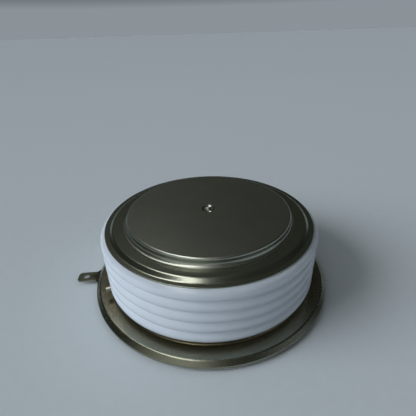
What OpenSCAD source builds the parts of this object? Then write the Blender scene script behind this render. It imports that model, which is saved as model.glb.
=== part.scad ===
// Disc thyristor: a press-pack capsule with a ribbed ceramic ring between two pole pieces.
// The origin is the middle of the cathode contact face, +Z points to the anode, the tab points to -X.

/* [Contact faces] */
// Diameter of each contact boss, across its rounded edge
contact_d = 52; // [46:0.5:56]
// Largest radius on the edge of a contact face
contact_edge_r = 1.1; // [0.3:0.1:1.2]
// Radius of the braze fillet at the foot of a contact boss
foot_fillet = 1.1; // [0.6:0.05:1.1]
// Height of the anode face above the sheet around it
anode_face_rise = 2.35; // [2.3:0.05:3.5]
// Height of the cathode face below the sheet around it
cathode_face_rise = 1.75; // [1.75:0.05:2.2]
// Diameter of the locating hole in each contact face
hole_d = 3.6; // [3:0.1:5]
// Depth of the straight part of a locating hole
hole_depth = 2; // [1.5:0.1:2.3]
// Chamfer at the mouth of a locating hole
hole_chamfer = 0.5; // [0.2:0.1:0.7]
// Point angle of the drill that made the locating holes
drill_angle = 118; // [110:1:140]

/* [Pole pieces] */
// Width of the shoulder that a sealing sheet is brazed to
shoulder_w = 1.15; // [0.8:0.05:2]
// Length of the cathode pole piece
cathode_pole_l = 9.6; // [9:0.1:11]

/* [Ceramic ring] */
// Gap between the pole pieces and the bore of the ring
bore_gap = 1.25; // [1:0.05:2.5]
// Thickness of the wall across a rib
ceramic_wall = 5; // [4.5:0.1:7]
// Number of ribs
rib_count = 5; // [4:1:8]
// Spacing of the ribs
rib_pitch = 3.68; // [3.4:0.02:4.5]
// Depth of the grooves between the ribs
groove_depth = 0.65; // [0.4:0.05:1]
// Width of the floor of a groove
groove_floor_w = 0.3; // [0.2:0.05:0.6]

/* [Anode diaphragm] */
// Thickness of the sheet
cap_t = 0.3; // [0.2:0.05:0.5]
// Distance of the sheet's edge from the outside of the ribs
cap_inset = 1.5; // [1.2:0.1:1.8]
// Height of the step from the flat edge to the middle of the sheet
cap_step_h = 0.85; // [0.6:0.05:1.2]
// Outer radius of the bends of that step
cap_bend_r = 0.8; // [0.6:0.05:0.9]
// Slope of that step
cap_step_angle = 30; // [28:1:45]
// Width of the flat edge outside the step
cap_edge_w = 1.2; // [0.8:0.05:1.4]

/* [Weld flange] */
// Thickness of the sheet
flange_t = 0.4; // [0.3:0.05:0.5]
// How far the rim stands out past the ribs
flange_w = 4.65; // [4.5:0.05:6]
// Height of the flat part of the sheet below the ceramic
flange_drop = 1.3; // [1.3:0.1:1.6]
// Distance of the braze foot's inner edge from the bore of the ring
foot_inset = 0.8; // [0.4:0.1:1.4]
// How far the neck stands back from the outside of the ribs
neck_inset = 1.3; // [1.1:0.1:1.6]
// Outer radius of the bend at the top of the neck
neck_bend_r = 0.85; // [0.75:0.05:0.85]
// Radius of the bend at the foot of the neck
dish_bend_r = 0.45; // [0.3:0.05:0.45]
// Distance of the ridge from the rim
ridge_inset = 1.8; // [1.7:0.05:2.2]
// Outer radius of the bend at the ridge
ridge_bend_r = 0.9; // [0.75:0.05:1]
// Slope of the weld band from the ridge down to the rim
band_slope = 30; // [25:1:35]

/* [Cathode diaphragm] */
// Thickness of the sheet
dia_t = 0.3; // [0.2:0.05:0.4]
// Gap between this sheet and the flat part of the weld flange
sheet_gap = 0.35; // [0.3:0.05:0.5]
// Width of the bead that lets the sheet flex
dia_bead_w = 3.2; // [2.8:0.1:3.6]
// Height of that bead
dia_bead_h = 0.5; // [0.3:0.05:0.8]
// Distance of the bead's middle from the brazed edge
dia_bead_out = 4.6; // [4:0.1:5.2]
// Inner radius of the bend to the weld band
dia_bend_r = 0.6; // [0.4:0.05:0.8]

/* [Cathode tab] */
// Width of the tab
tab_w = 4.4; // [3:0.1:6.3]
// Length of the tab from the rim
tab_l = 7.2; // [6.4:0.1:9]
// Width of the tab's root at the rim
tab_root_w = 6.7; // [6.5:0.1:9]
// Length of the sloping shoulders at the root
tab_root_l = 1; // [0.5:0.1:1.5]
// Chamfer on the tab's corners
tab_chamfer = 0.8; // [0.3:0.1:1.2]
// Diameter of the hole in the tab
tab_hole_d = 1.9; // [1.2:0.1:2.4]
// Distance of that hole from the rim
tab_hole_out = 4.3; // [3:0.1:4.5]

/* [Gate] */
// Angle of the gate tube from the tab
gate_angle = 20; // [15:1:120]
// Outer diameter of the gate tube
tube_d = 1.6; // [1.4:0.05:2]
// How far the gate tube stands out of the rib
tube_out = 1.4; // [1:0.1:4]
// How far the gate tube reaches into the bore
tube_in = 0.3; // [0.1:0.1:0.6]
// Diameter of the gate lead
lead_d = 0.7; // [0.5:0.05:0.9]
// Outer diameter of the insulating sleeve
sleeve_d = 1.9; // [1.6:0.05:2.2]
// Diameter of the gate well
well_d = 8; // [7.4:0.1:9]
// Wall of the insulating cup
cup_wall = 1.6; // [1.2:0.1:1.8]
// Floor of the insulating cup
cup_floor = 0.5; // [0.4:0.05:0.6]
// Diameter of the plunger's hub
hub_d = 3.2; // [2.4:0.1:3.6]
// Height of the plunger's hub
hub_h = 1.4; // [1.2:0.1:1.6]
// Diameter of the plunger's stem
stem_d = 1.8; // [1.2:0.1:2.2]
// Diameter of the rounded tip
tip_d = 1.2; // [0.8:0.1:1.2]
// Thickness of a disc spring
spring_t = 0.25; // [0.15:0.05:0.25]
// Height of the pair of disc springs
spring_h = 0.9; // [0.8:0.05:1]

/* [Wafer stack] */
// Thickness of the silicon wafer
wafer_t = 0.7; // [0.4:0.05:1]
// How far the wafer reaches past the contact face
wafer_over = 0.25; // [0.1:0.05:0.4]
// Thickness of the anode-side disc
anode_disc_t = 2.3; // [1.5:0.1:3]
// How far the anode-side disc reaches past the wafer
anode_disc_over = 0.7; // [0.4:0.05:0.9]
// Thickness of the cathode-side disc
cathode_disc_t = 1.8; // [1.5:0.1:2.5]
// How far the cathode-side disc stands back from the wafer's edge
cathode_disc_under = 1.7; // [1.2:0.1:2.5]
// Diameter of the gate hole in that disc
gate_hole_d = 4; // [3:0.1:5]
// Height of the rubber below the wafer
edge_ring_h = 1.2; // [0.6:0.1:1.3]

/* [Clearances] */
// Radial clearance of a brazed or threaded-in round piece
round_fit = 0.05; // [0.02:0.01:0.1]
// Clearance of the locating ring at the stack and at the bore
ring_fit = 0.1; // [0.05:0.05:0.2]
// Gap left above a piece that another piece covers
head_gap = 0.3; // [0.1:0.05:0.5]

/* [Hidden] */
$fn = 128;

// Colours of the materials
NICKEL = [0.55, 0.54, 0.49];
GLAZE = [0.90, 0.92, 0.94];
COPPER = [0.72, 0.45, 0.20];
MOLYBDENUM = [0.42, 0.43, 0.45];
SILICON = [0.25, 0.26, 0.30];
SILICONE = [0.88, 0.88, 0.86];
PTFE = [0.94, 0.94, 0.92];
SPRING_STEEL = [0.50, 0.50, 0.50];

// Radii, from the contact face outwards
contact_r = contact_d / 2;
seat_r = contact_r + foot_fillet;
body_r = seat_r + shoulder_w;
bore_r = body_r + bore_gap;
ceramic_r = bore_r + ceramic_wall;
groove_r = ceramic_r - groove_depth;
cap_r = ceramic_r - cap_inset;
cap_foot_r = cap_r - cap_edge_w;
neck_r = ceramic_r - neck_inset;
rim_r = ceramic_r + flange_w;
ridge_r = rim_r - ridge_inset;
dia_bead_r = seat_r + dia_bead_out;

// Levels, from the cathode face upwards
dish_z = cathode_face_rise + dia_t + sheet_gap + flange_t;
ceramic_z = dish_z + flange_drop;
ceramic_h = rib_count * rib_pitch;
cap_z = ceramic_z + ceramic_h;
plateau_z = cap_z + cap_t + cap_step_h;
height = plateau_z + anode_face_rise;
wafer_z = cathode_pole_l + cathode_disc_t;
anode_disc_z = wafer_z + wafer_t;
anode_pole_z = anode_disc_z + anode_disc_t;
anode_pole_l = height - anode_pole_z;

// A rib is an arc across its width, and its centre lies inside the wall
rib_chord = rib_pitch - groove_floor_w;
rib_arc_r = (pow(rib_chord / 2, 2) + pow(groove_depth, 2)) / (2 * groove_depth);

// The step of the anode diaphragm is two bends with a straight leg between them
cap_leg = (cap_step_h - 2 * cap_bend_r * (1 - cos(cap_step_angle))) / sin(cap_step_angle);
cap_top_r = cap_foot_r - 2 * cap_bend_r * sin(cap_step_angle) - cap_leg * cos(cap_step_angle);

// The cathode diaphragm bends where its upper face meets the underside of the weld band
dia_bend_x = ridge_r + sheet_gap / tan(band_slope)
    + (ridge_bend_r - flange_t - dia_bend_r - dia_t) * tan(band_slope / 2);

// The tab starts inside the weld band and stays above its underside
tab_lap = 0.75 * flange_t * tan(band_slope / 2);

// The gate tube and its lead lie at the middle of the lowest rib
lead_z = ceramic_z + rib_pitch / 2;
lead_turn = 180 + gate_angle;
lead_hole_d = lead_d + 2 * round_fit;
tube_hole_d = tube_d + 2 * round_fit;
slot_w = sleeve_d + 2 * round_fit;
slot_z = lead_z - slot_w / 2;
hub_z = lead_z - hub_h / 2;
spring_z = hub_z - spring_h;
well_z = spring_z - cup_floor;
cup_r = well_d / 2 - round_fit;
cup_bore_r = cup_r - cup_wall;
tube_in_r = bore_r - tube_in;
sleeve_out_r = tube_in_r - round_fit;
lead_in_r = stem_d / 4;
drill_tip = hole_d / 2 / tan(drill_angle / 2);

// Radii of the wafer stack
wafer_r = contact_r + wafer_over;
anode_disc_r = wafer_r + anode_disc_over;
cathode_disc_r = wafer_r - cathode_disc_under;

// Points along an arc
function arc(centre, r, from, to, steps = 8) =
    [for (i = [0:steps]) let (a = from + (to - from) * i / steps) centre + r * [cos(a), sin(a)]];

// The same points in the other order
function reversed(points) = [for (i = [len(points) - 1:-1:0]) points[i]];

// Bend angle and bend radius of a bead made of equal arcs
function bead_angle(w, h) = 2 * atan(2 * h / w);
function bead_bend(w, h) = w / 4 / sin(bead_angle(w, h));

// A bead that rises from the line z = base; depth goes down through the sheet
function bead_line(r, base, w, h, depth) =
    let (a = bead_angle(w, h), b = bead_bend(w, h))
    concat(
        arc([r - w / 2, base + b], b + depth, 270, 270 + a),
        arc([r, base + h - b], b - depth, 90 + a, 90 - a),
        arc([r + w / 2, base + b], b + depth, 270 - a, 270)
    );

// One surface of the anode diaphragm, depth below its upper face
function cap_line(depth) = concat(
    [[seat_r, plateau_z - depth]],
    arc([cap_top_r, plateau_z - cap_bend_r], cap_bend_r - depth, 90, 90 - cap_step_angle),
    arc([cap_foot_r, cap_z + cap_t + cap_bend_r], cap_bend_r + depth, 270 - cap_step_angle, 270),
    [[cap_r, cap_z + cap_t - depth]]
);

// Height of the weld band at the rim, depth below its upper face
function band_z(depth) = dish_z - ridge_bend_r + (ridge_bend_r - depth) / cos(band_slope)
    - ridge_inset * tan(band_slope);

// One surface of the weld flange, depth below its upper face
function flange_line(depth) = concat(
    [[bore_r + foot_inset, ceramic_z - depth]],
    arc([neck_r - neck_bend_r, ceramic_z - neck_bend_r], neck_bend_r - depth, 90, 0),
    arc([neck_r + dish_bend_r, dish_z + dish_bend_r], dish_bend_r + depth, 180, 270),
    arc([ridge_r, dish_z - ridge_bend_r], ridge_bend_r - depth, 90, 90 - band_slope),
    [[rim_r, band_z(depth)]]
);

// One surface of the cathode diaphragm, depth above its lower face
function dia_line(depth) = concat(
    [[seat_r, cathode_face_rise + depth]],
    [for (p = bead_line(dia_bead_r, -cathode_face_rise, dia_bead_w, dia_bead_h, depth)) [p[0], -p[1]]],
    arc([dia_bend_x, cathode_face_rise - dia_bend_r], dia_bend_r + depth, 90, 90 - band_slope),
    [[rim_r, band_z(flange_t + dia_t - depth)]]
);

// A piece with its length along +X at the height of the gate lead, turned to the gate tube
module along_lead() {
    rotate([0, 0, lead_turn]) translate([0, 0, lead_z]) rotate([0, 90, 0]) children();
}

// A drilled hole in the face z = 0, which opens downwards
module locating_hole() {
    translate([0, 0, -hole_chamfer])
        cylinder(d1 = hole_d + 4 * hole_chamfer, d2 = hole_d, h = 2 * hole_chamfer);
    cylinder(d = hole_d, h = hole_depth);
    translate([0, 0, hole_depth]) cylinder(d1 = hole_d, d2 = 0, h = drill_tip);
}

// A pole piece with its contact face at z = 0 and its seat for a sheet of thickness t
module pole_piece(l, rise, t) {
    edge_r = min(contact_edge_r, rise - foot_fillet);
    difference() {
        rotate_extrude() {
            square([contact_r - edge_r, l]);
            translate([contact_r - edge_r, edge_r]) circle(edge_r);
            translate([0, edge_r]) square([contact_r, l - edge_r]);
            difference() {
                translate([0, rise - foot_fillet]) square([seat_r, foot_fillet + t]);
                translate([seat_r, rise - foot_fillet]) circle(foot_fillet);
            }
            translate([0, rise + t]) square([body_r, l - rise - t]);
        }
        locating_hole();
    }
}

// The slot for the gate lead, open upwards
module lead_slot(to_r, top) {
    rotate([0, 0, lead_turn]) translate([0, -slot_w / 2, slot_z]) cube([to_r, slot_w, top - slot_z]);
}

module ceramic_ring() {
    color(GLAZE) difference() {
        translate([0, 0, ceramic_z]) rotate_extrude() intersection() {
            translate([bore_r, 0]) square([ceramic_wall, ceramic_h]);
            union() {
                square([groove_r, ceramic_h]);
                for (i = [0:rib_count - 1])
                    translate([ceramic_r - rib_arc_r, (i + 0.5) * rib_pitch]) circle(rib_arc_r);
            }
        }
        along_lead() cylinder(d = tube_hole_d, h = ceramic_r + tube_out);
    }
}

module anode_pole_piece() {
    color(NICKEL) translate([0, 0, height]) mirror([0, 0, 1])
        pole_piece(anode_pole_l, anode_face_rise, cap_t);
}

module cathode_pole_piece() {
    color(NICKEL) difference() {
        pole_piece(cathode_pole_l, cathode_face_rise, dia_t);
        translate([0, 0, well_z]) cylinder(d = well_d, h = cathode_pole_l);
        lead_slot(body_r + bore_gap, cathode_pole_l + head_gap);
    }
}

module anode_diaphragm() {
    color(NICKEL) rotate_extrude() polygon(concat(cap_line(0), reversed(cap_line(cap_t))));
}

// Outline of the cathode tab from the ridge outwards
module tab_outline() {
    end_x = rim_r + tab_l;
    neck_x = rim_r + tab_root_l;
    half = [
        [ridge_r, tab_root_w / 2],
        [sqrt(pow(rim_r, 2) - pow(tab_root_w / 2, 2)), tab_root_w / 2],
        [neck_x, tab_w / 2],
        [end_x - tab_chamfer, tab_w / 2],
        [end_x, tab_w / 2 - tab_chamfer]
    ];
    polygon(concat(half, reversed([for (p = half) [p[0], -p[1]]])));
}

module weld_flange() {
    color(NICKEL) difference() {
        union() {
            rotate_extrude() polygon(concat(flange_line(0), reversed(flange_line(flange_t))));
            rotate([0, 0, 180]) translate([0, 0, band_z(0) - flange_t]) difference() {
                linear_extrude(flange_t) tab_outline();
                translate([0, 0, -flange_t]) cylinder(r = rim_r - tab_lap, h = 3 * flange_t);
            }
        }
        translate([-rim_r - tab_hole_out, 0, 0]) cylinder(d = tab_hole_d, h = dish_z);
    }
}

module cathode_diaphragm() {
    color(NICKEL) rotate_extrude() polygon(concat(dia_line(0), reversed(dia_line(dia_t))));
}

module gate_tube() {
    color(NICKEL) along_lead() difference() {
        translate([0, 0, tube_in_r]) cylinder(d = tube_d, h = ceramic_r + tube_out - tube_in_r);
        cylinder(d = lead_hole_d, h = rim_r);
    }
}

module gate_lead() {
    color(COPPER) along_lead() translate([0, 0, lead_in_r])
        cylinder(d = lead_d, h = ceramic_r + tube_out - lead_in_r);
}

module gate_lead_sleeve() {
    color(PTFE) along_lead() difference() {
        translate([0, 0, cup_bore_r]) cylinder(d = sleeve_d, h = sleeve_out_r - cup_bore_r);
        cylinder(d = lead_hole_d, h = rim_r);
    }
}

module gate_contact() {
    color(MOLYBDENUM) difference() {
        union() {
            translate([0, 0, hub_z]) cylinder(d = hub_d, h = hub_h);
            translate([0, 0, hub_z]) cylinder(d = stem_d, h = wafer_z - tip_d / 2 - hub_z);
            translate([0, 0, wafer_z - tip_d]) cylinder(d = tip_d, h = tip_d);
        }
        along_lead() translate([0, 0, lead_in_r]) cylinder(d = lead_hole_d, h = hub_d);
    }
}

// One disc spring, a shallow cone that opens upwards
module disc_spring() {
    cone_h = spring_h / 2 - spring_t;
    inner_r = stem_d / 2;
    outer_r = hub_d / 2;
    rotate_extrude() polygon([
        [inner_r, 0],
        [outer_r, cone_h],
        [outer_r, cone_h + spring_t],
        [inner_r, spring_t]
    ]);
}

module gate_spring() {
    color(SPRING_STEEL) translate([0, 0, spring_z]) {
        disc_spring();
        translate([0, 0, spring_h]) mirror([0, 0, 1]) disc_spring();
    }
}

module gate_insulator() {
    cup_top = cathode_pole_l - head_gap;
    color(PTFE) difference() {
        translate([0, 0, well_z]) cylinder(r = cup_r, h = cup_top - well_z);
        translate([0, 0, well_z + cup_floor]) cylinder(r = cup_bore_r, h = cup_top);
        lead_slot(well_d, cathode_pole_l);
    }
}

module silicon_wafer() {
    color(SILICON) translate([0, 0, wafer_z]) cylinder(r = wafer_r, h = wafer_t);
}

module anode_molybdenum_disc() {
    color(MOLYBDENUM) translate([0, 0, anode_disc_z]) cylinder(r = anode_disc_r, h = anode_disc_t);
}

module cathode_molybdenum_disc() {
    color(MOLYBDENUM) translate([0, 0, cathode_pole_l]) difference() {
        cylinder(r = cathode_disc_r, h = cathode_disc_t);
        translate([0, 0, -head_gap]) cylinder(d = gate_hole_d, h = cathode_disc_t + 2 * head_gap);
    }
}

module wafer_edge_ring() {
    color(SILICONE) rotate_extrude() polygon([
        [cathode_disc_r + round_fit, wafer_z - edge_ring_h],
        [anode_disc_r, wafer_z - edge_ring_h],
        [anode_disc_r, anode_disc_z],
        [wafer_r, anode_disc_z],
        [wafer_r, wafer_z],
        [cathode_disc_r + round_fit, wafer_z]
    ]);
}

module locating_ring() {
    inner_r = anode_disc_r + ring_fit;
    outer_r = bore_r - ring_fit;
    ring_h = anode_pole_z - head_gap - cathode_pole_l;
    color(PTFE) translate([0, 0, cathode_pole_l]) rotate_extrude()
        translate([inner_r, 0]) square([outer_r - inner_r, ring_h]);
}

ceramic_ring();
anode_pole_piece();
anode_diaphragm();
weld_flange();
cathode_pole_piece();
cathode_diaphragm();
gate_tube();
gate_lead();
gate_lead_sleeve();
gate_contact();
gate_spring();
gate_insulator();
silicon_wafer();
anode_molybdenum_disc();
cathode_molybdenum_disc();
wafer_edge_ring();
locating_ring();
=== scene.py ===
"""Looks of a disc thyristor: nickel-plated pole pieces and sheets around a ribbed ceramic ring.

Sizes are in millimetres in the frame of the part, whose origin is the middle of the cathode face,
and each mesh is scaled to metres when it is finished.
"""

import logging
import math
from dataclasses import dataclass
from enum import Enum
from typing import Iterable, Sequence

import bmesh
import bpy
from mathutils import Matrix, Vector


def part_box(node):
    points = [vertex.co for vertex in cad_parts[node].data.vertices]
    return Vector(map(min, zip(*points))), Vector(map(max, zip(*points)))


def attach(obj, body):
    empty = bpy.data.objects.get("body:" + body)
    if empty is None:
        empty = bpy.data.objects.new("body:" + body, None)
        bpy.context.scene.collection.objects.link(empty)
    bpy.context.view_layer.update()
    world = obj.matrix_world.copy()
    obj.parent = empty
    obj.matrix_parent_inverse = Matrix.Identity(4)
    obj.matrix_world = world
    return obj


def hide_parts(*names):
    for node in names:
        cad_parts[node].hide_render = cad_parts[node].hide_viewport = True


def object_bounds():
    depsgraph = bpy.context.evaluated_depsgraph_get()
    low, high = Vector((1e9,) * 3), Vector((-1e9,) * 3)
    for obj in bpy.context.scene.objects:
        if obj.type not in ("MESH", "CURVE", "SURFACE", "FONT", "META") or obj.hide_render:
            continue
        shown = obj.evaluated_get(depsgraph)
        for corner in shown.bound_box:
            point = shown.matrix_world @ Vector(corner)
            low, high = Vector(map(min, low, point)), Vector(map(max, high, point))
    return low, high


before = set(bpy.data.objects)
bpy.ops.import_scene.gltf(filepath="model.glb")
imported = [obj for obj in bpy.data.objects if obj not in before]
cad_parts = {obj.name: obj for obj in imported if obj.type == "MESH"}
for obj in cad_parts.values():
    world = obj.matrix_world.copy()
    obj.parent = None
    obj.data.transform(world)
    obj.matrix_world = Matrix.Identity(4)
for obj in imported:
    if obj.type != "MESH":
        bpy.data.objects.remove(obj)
cad_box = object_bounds()

LOG = logging.getLogger("capsule")
ROOT = "root"
MM = 0.001
AROUND = 320
SHARP_ANGLE = math.radians(40)
MERGE = 0.0005

Point = tuple[float, float]
Inputs = dict[str | int, object]
Tree = bpy.types.NodeTree
Node = bpy.types.Node
Socket = bpy.types.NodeSocket
Material = bpy.types.Material
Mesh = bmesh.types.BMesh
Piece = bpy.types.Object

# Sockets of a Mix node that blends colours
MIX_FIRST = 6
MIX_SECOND = 7
MIX_RESULT = 2
# Layers of finer detail in a noise
SOFT = 1.0
PLAIN = 2.0
FINE = 3.0


class Slot(str, Enum):
    """Material slots of the record."""

    NICKEL = "nickel_plate"
    ALUMINA = "glazed_alumina"
    MOLYBDENUM = "molybdenum"
    SILICON = "silicon"
    RUBBER = "silicone_rubber"
    PTFE = "ptfe"
    WIRE = "copper_wire"
    SPRING = "spring_steel"


class Side(Enum):
    """Which contact face a pole piece has, as the direction in which it looks."""

    ANODE = 1
    CATHODE = -1


def linear(colour: str) -> tuple[float, float, float, float]:
    """Turn an sRGB hex colour into linear values.

    Args:
        colour: Six hex digits after a hash sign.

    Returns:
        Red, green, blue and an alpha of 1.
    """
    parts = [int(colour[i:i + 2], 16) / 255 for i in (1, 3, 5)]
    red, green, blue = [p / 12.92 if p <= 0.04045 else ((p + 0.055) / 1.055) ** 2.4 for p in parts]
    return red, green, blue, 1.0


def add_node(tree: Tree, kind: str, inputs: Inputs | None = None, **settings: object) -> Node:
    """Add a node to a tree with its settings, values and links.

    Args:
        tree: Tree that gets the node.
        kind: Blender's name of the node type.
        inputs: Values or output sockets by the name or index of the input socket.
        settings: Properties of the node.

    Returns:
        The new node.
    """
    node = tree.nodes.new(kind)
    for name, value in settings.items():
        setattr(node, name, value)
    for key, value in (inputs or {}).items():
        if isinstance(value, Socket):
            tree.links.new(value, node.inputs[key])
        else:
            node.inputs[key].default_value = value
    return node


def per_metre(size_mm: float) -> float:
    """Give the texture scale at which one feature measures size_mm."""
    return 1 / (size_mm * MM)


def noise(tree: Tree, place: Socket, size_mm: float, detail: float) -> Socket:
    """Add a noise whose features measure size_mm."""
    inputs = {"Vector": place, "Scale": per_metre(size_mm), "Detail": detail}
    return add_node(tree, "ShaderNodeTexNoise", inputs).outputs[0]


def mix(tree: Tree, share: Socket, first: object, second: object) -> Socket:
    """Blend two colours by a share."""
    inputs = {"Factor": share, MIX_FIRST: first, MIX_SECOND: second}
    return add_node(tree, "ShaderNodeMix", inputs, data_type="RGBA").outputs[MIX_RESULT]


def relief(tree: Tree, height: Socket, depth_mm: float, strength: float) -> Socket:
    """Turn a pattern of heights into a bump."""
    inputs = {"Height": height, "Distance": depth_mm * MM, "Strength": strength}
    return add_node(tree, "ShaderNodeBump", inputs).outputs[0]


@dataclass(frozen=True)
class Finish:
    """A surface finish, named for its material and how the surface was made."""

    name: str

    def build(self) -> Material:
        """Make the material.

        Returns:
            A material whose patterns lie on Object coordinates.
        """
        material = bpy.data.materials.new(self.name)
        material.use_nodes = True
        tree = material.node_tree
        place = add_node(tree, "ShaderNodeTexCoord").outputs["Object"]
        self.paint(tree, tree.nodes["Principled BSDF"], place)
        return material

    def paint(self, tree: Tree, shader: Node, place: Socket) -> None:
        """Set the shader's sockets and patterns; each finish has its own."""
        raise NotImplementedError


@dataclass(frozen=True)
class NickelPlate(Finish):
    """Matt electroplated nickel, a warm grey metal that mirrors softly and has a faint olive cast."""

    bright: str = "#C6CBC0"
    dull: str = "#B4B9AD"
    cloud_mm: float = 9.0
    grain_mm: float = 0.5
    grain_low: float = 0.25
    grain_high: float = 0.75
    smooth: float = 0.27
    rough: float = 0.3
    lay_mm: float = 0.0
    lay_depth_mm: float = 0.0
    lay_strength: float = 0.25
    # Painted shade: colour and reach of a darker brown tint over the dish beside the ceramic
    painted_shade_colour: str = "#857E66"
    painted_shade_reach_mm: float = 0.0
    painted_shade_fade_mm: float = 2.6

    def paint(self, tree: Tree, shader: Node, place: Socket) -> None:
        """Paint cloudy plating and a fine grain, with a tool's lay or a painted shade near the axis where
        those have a size.

        Args:
            tree: The material's tree.
            shader: Its shader.
            place: Object coordinates.
        """
        cloud = noise(tree, place, self.cloud_mm, FINE)
        tint = mix(tree, cloud, linear(self.dull), linear(self.bright))
        grain = noise(tree, place, self.grain_mm, PLAIN)
        span = {0: grain, 1: self.grain_low, 2: self.grain_high, 3: self.smooth, 4: self.rough}
        polish = add_node(tree, "ShaderNodeMapRange", span)
        shader.inputs["Metallic"].default_value = 1.0
        tree.links.new(polish.outputs[0], shader.inputs["Roughness"])
        # Painted shade: a darker brown tint near the axis, over the dish beside the ceramic
        if self.painted_shade_reach_mm:
            tint = self.add_painted_shade(tree, self.radius(tree, place), tint)
        tree.links.new(tint, shader.inputs["Base Color"])
        if self.lay_mm:
            tree.links.new(self.lay(tree, self.radius(tree, place)), shader.inputs["Normal"])

    def radius(self, tree: Tree, place: Socket) -> Socket:
        """Measure the distance from the axis.

        Args:
            tree: The material's tree.
            place: Object coordinates.

        Returns:
            The distance in metres.
        """
        flat = add_node(tree, "ShaderNodeVectorMath", {0: place, 1: (1.0, 1.0, 0.0)}, operation="MULTIPLY")
        length = add_node(tree, "ShaderNodeVectorMath", {0: flat.outputs[0]}, operation="LENGTH")
        return length.outputs["Value"]

    def add_painted_shade(self, tree: Tree, radius: Socket, tint: Socket) -> Socket:
        """Paint shade on the plating near the axis: a darker brown tint within the given reach, over the
        dish beside the ceramic.
        """
        span = {0: radius, 1: self.painted_shade_reach_mm * MM, 2: (self.painted_shade_reach_mm - self.painted_shade_fade_mm) * MM}
        return mix(tree, add_node(tree, "ShaderNodeMapRange", span).outputs[0], tint, linear(self.painted_shade_colour))

    def lay(self, tree: Tree, radius: Socket) -> Socket:
        """Give the bump of the fine rings that the lathe left.

        Args:
            tree: The material's tree.
            radius: Distance from the axis.

        Returns:
            The bump's normal.
        """
        inputs = {"W": radius, "Scale": per_metre(self.lay_mm), "Detail": PLAIN}
        rings = add_node(tree, "ShaderNodeTexNoise", inputs, noise_dimensions="1D")
        return relief(tree, rings.outputs[0], self.lay_depth_mm, self.lay_strength)


@dataclass(frozen=True)
class FiredGlaze(Finish):
    """Clear glaze fired on white alumina, a smooth bluish white with a wet gloss."""

    body: str = "#DCE3EE"
    shade: str = "#D3DBE7"
    cloud_mm: float = 7.0
    ripple_mm: float = 1.8
    ripple_depth_mm: float = 0.006
    ripple_strength: float = 0.6
    roughness: float = 0.14
    glaze_ior: float = 1.52

    def paint(self, tree: Tree, shader: Node, place: Socket) -> None:
        """Paint a faintly cloudy white and the low ripple of the fired glaze.

        Args:
            tree: The material's tree.
            shader: Its shader.
            place: Object coordinates.
        """
        cloud = noise(tree, place, self.cloud_mm, PLAIN)
        tint = mix(tree, cloud, linear(self.shade), linear(self.body))
        ripple = noise(tree, place, self.ripple_mm, SOFT)
        bump = relief(tree, ripple, self.ripple_depth_mm, self.ripple_strength)
        shader.inputs["Roughness"].default_value = self.roughness
        shader.inputs["IOR"].default_value = self.glaze_ior
        tree.links.new(tint, shader.inputs["Base Color"])
        tree.links.new(bump, shader.inputs["Normal"])


@dataclass(frozen=True)
class InnerFinish(Finish):
    """Finish of a piece inside the capsule: two close tones in a grain, with a matching bump."""

    light: str = "#FFFFFF"
    dark: str = "#DDDDDD"
    grain_mm: float = 0.3
    metallic: float = 0.0
    roughness: float = 0.5
    bump_mm: float = 0.004
    bump_strength: float = 0.5

    def paint(self, tree: Tree, shader: Node, place: Socket) -> None:
        """Paint the grain's two tones and its bump.

        Args:
            tree: The material's tree.
            shader: Its shader.
            place: Object coordinates.
        """
        grain = noise(tree, place, self.grain_mm, FINE)
        tint = mix(tree, grain, linear(self.dark), linear(self.light))
        shader.inputs["Metallic"].default_value = self.metallic
        shader.inputs["Roughness"].default_value = self.roughness
        tree.links.new(tint, shader.inputs["Base Color"])
        tree.links.new(relief(tree, grain, self.bump_mm, self.bump_strength), shader.inputs["Normal"])


# Copper pole pieces, faced on a lathe and plated; the real lay is finer and is drawn as coarse as it shows
TURNED_NICKEL = NickelPlate("nickel_plate_on_turned_copper", lay_mm=0.7, lay_depth_mm=0.0015)
# Nickel-iron sheet, pressed and plated; it is smoother and mirrors more clearly
PRESSED_NICKEL = NickelPlate(
    "nickel_plate_on_pressed_sheet", bright="#AEB2A3", dull="#9EA293", smooth=0.22, rough=0.25
)
# The same sheet, with painted shade: darker all over, and a darker straw brown over the dish beside the
# ceramic
BRAZED_NICKEL_WITH_PAINTED_SHADE = NickelPlate(
    "nickel_plate_on_brazed_sheet_with_painted_shade", bright="#A2A392", dull="#929382", smooth=0.24, rough=0.28, painted_shade_reach_mm=37.6
)
# Drawn tube, bright from the die
DRAWN_NICKEL = NickelPlate("nickel_plate_on_drawn_tube", bright="#E2DED2", dull="#D2CCBC", cloud_mm=1.5)
# White alumina under a clear fired glaze
GLAZED_ALUMINA = FiredGlaze("glazed_alumina_fired")
# Lapped molybdenum, a grey satin metal
LAPPED_MOLYBDENUM = InnerFinish("molybdenum_lapped", "#A6A8AA", "#8F9194", 0.15, 1.0, 0.35, 0.001)
# Polished silicon with a bluish grey mirror
POLISHED_SILICON = InnerFinish("silicon_polished", "#5B5F6B", "#4C5059", 2.0, 1.0, 0.12, 0.0005)
# Moulded silicone rubber, milky and soft
MOULDED_RUBBER = InnerFinish("silicone_rubber_moulded", "#E6E4DD", "#D9D6CC", 0.8, 0.0, 0.55, 0.004)
# Turned PTFE, waxy white
TURNED_PTFE = InnerFinish("ptfe_turned", "#F2F1EC", "#E7E5DE", 0.4, 0.0, 0.45, 0.003)
# Silver-plated copper wire, drawn
DRAWN_WIRE = InnerFinish("silvered_copper_wire_drawn", "#E0DCD2", "#CFC8BA", 0.2, 1.0, 0.22, 0.001)
# Blued spring steel strip, rolled
ROLLED_STEEL = InnerFinish("spring_steel_rolled", "#8D8F93", "#787A80", 0.2, 1.0, 0.3, 0.001)


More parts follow.
